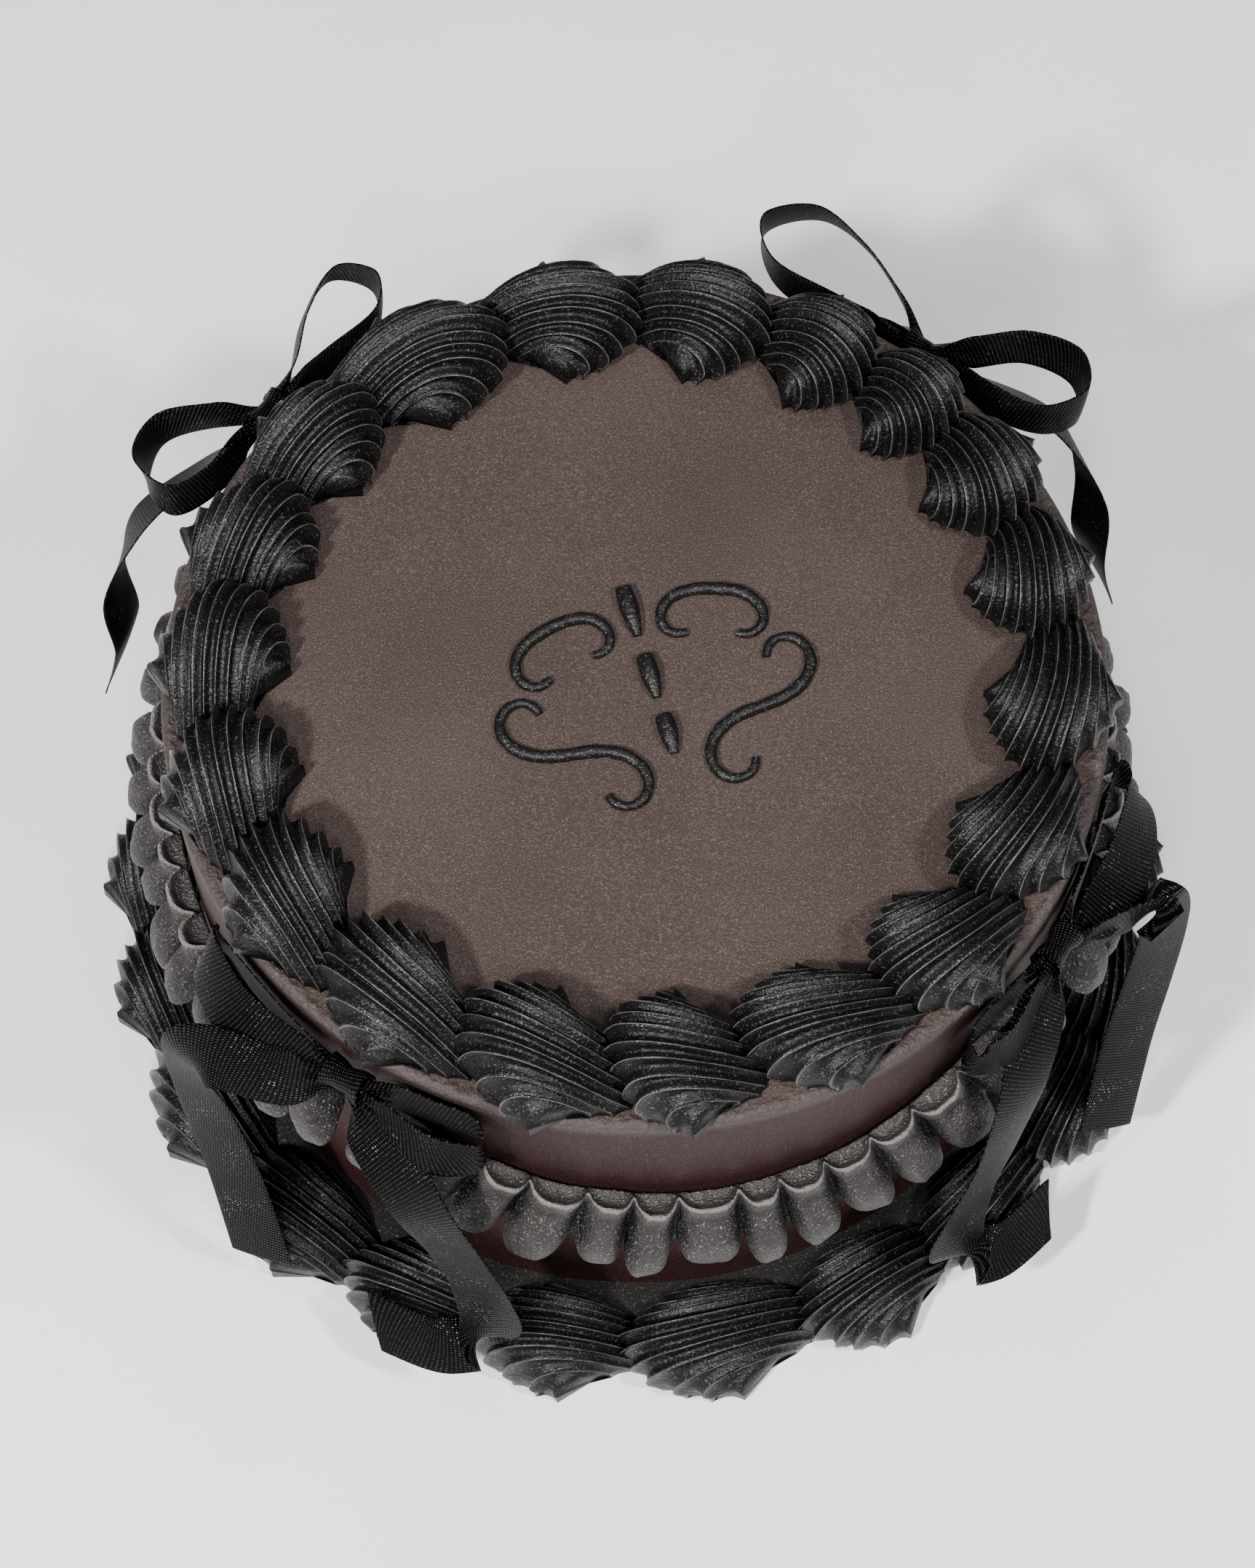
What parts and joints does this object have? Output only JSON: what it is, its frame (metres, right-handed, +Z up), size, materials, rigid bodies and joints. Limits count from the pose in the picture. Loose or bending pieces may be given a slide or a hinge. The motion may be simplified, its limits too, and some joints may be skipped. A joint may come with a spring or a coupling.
{
  "type": "layer cake",
  "caption": "Round iced celebration cake with piped shell borders at its top and foot, ruffle swags round its side, satin ribbon bows and a piped scroll on top.",
  "frame": {"origin": "centre of the cake's round base, on the surface that it stands on", "axes": "+Z up along the cake's axis, -Y towards the front, +X to the right seen from the front"},
  "size_m": [0.2368, 0.2367, 0.1246],
  "materials": {
    "smooth_icing": "matte fine-grained buttercream, brownish black",
    "piped_icing": "buttercream with a satin sheen, near black",
    "satin_ribbon": "black satin weave"
  },
  "bodies": {
    "root": {"cake_body": "smooth_icing", "top_shell_01": "piped_icing", "top_shell_02": "piped_icing", "top_shell_03": "piped_icing", "top_shell_04": "piped_icing", "top_shell_05": "piped_icing", "top_shell_06": "piped_icing", "top_shell_07": "piped_icing", "top_shell_08": "piped_icing", "top_shell_09": "piped_icing", "top_shell_10": "piped_icing", "top_shell_11": "piped_icing", "top_shell_12": "piped_icing", "top_shell_13": "piped_icing", "top_shell_14": "piped_icing", "top_shell_15": "piped_icing", "top_shell_16": "piped_icing", "top_shell_17": "piped_icing", "top_shell_18": "piped_icing", "top_shell_19": "piped_icing", "foot_shell_01": "piped_icing", "foot_shell_02": "piped_icing", "foot_shell_03": "piped_icing", "foot_shell_04": "piped_icing", "foot_shell_05": "piped_icing", "foot_shell_06": "piped_icing", "foot_shell_07": "piped_icing", "foot_shell_08": "piped_icing", "foot_shell_09": "piped_icing", "foot_shell_10": "piped_icing", "foot_shell_11": "piped_icing", "foot_shell_12": "piped_icing", "foot_shell_13": "piped_icing", "foot_shell_14": "piped_icing", "foot_shell_15": "piped_icing", "foot_shell_16": "piped_icing", "foot_shell_17": "piped_icing", "foot_shell_18": "piped_icing", "foot_shell_19": "piped_icing", "foot_shell_20": "piped_icing", "foot_shell_21": "piped_icing", "foot_shell_22": "piped_icing", "swag_01": "piped_icing", "swag_02": "piped_icing", "swag_03": "piped_icing", "swag_04": "piped_icing", "bow_back_right": "satin_ribbon", "bow_back_left": "satin_ribbon", "bow_front_left": "satin_ribbon", "bow_front_right": "satin_ribbon"}
  },
  "joints": []
}
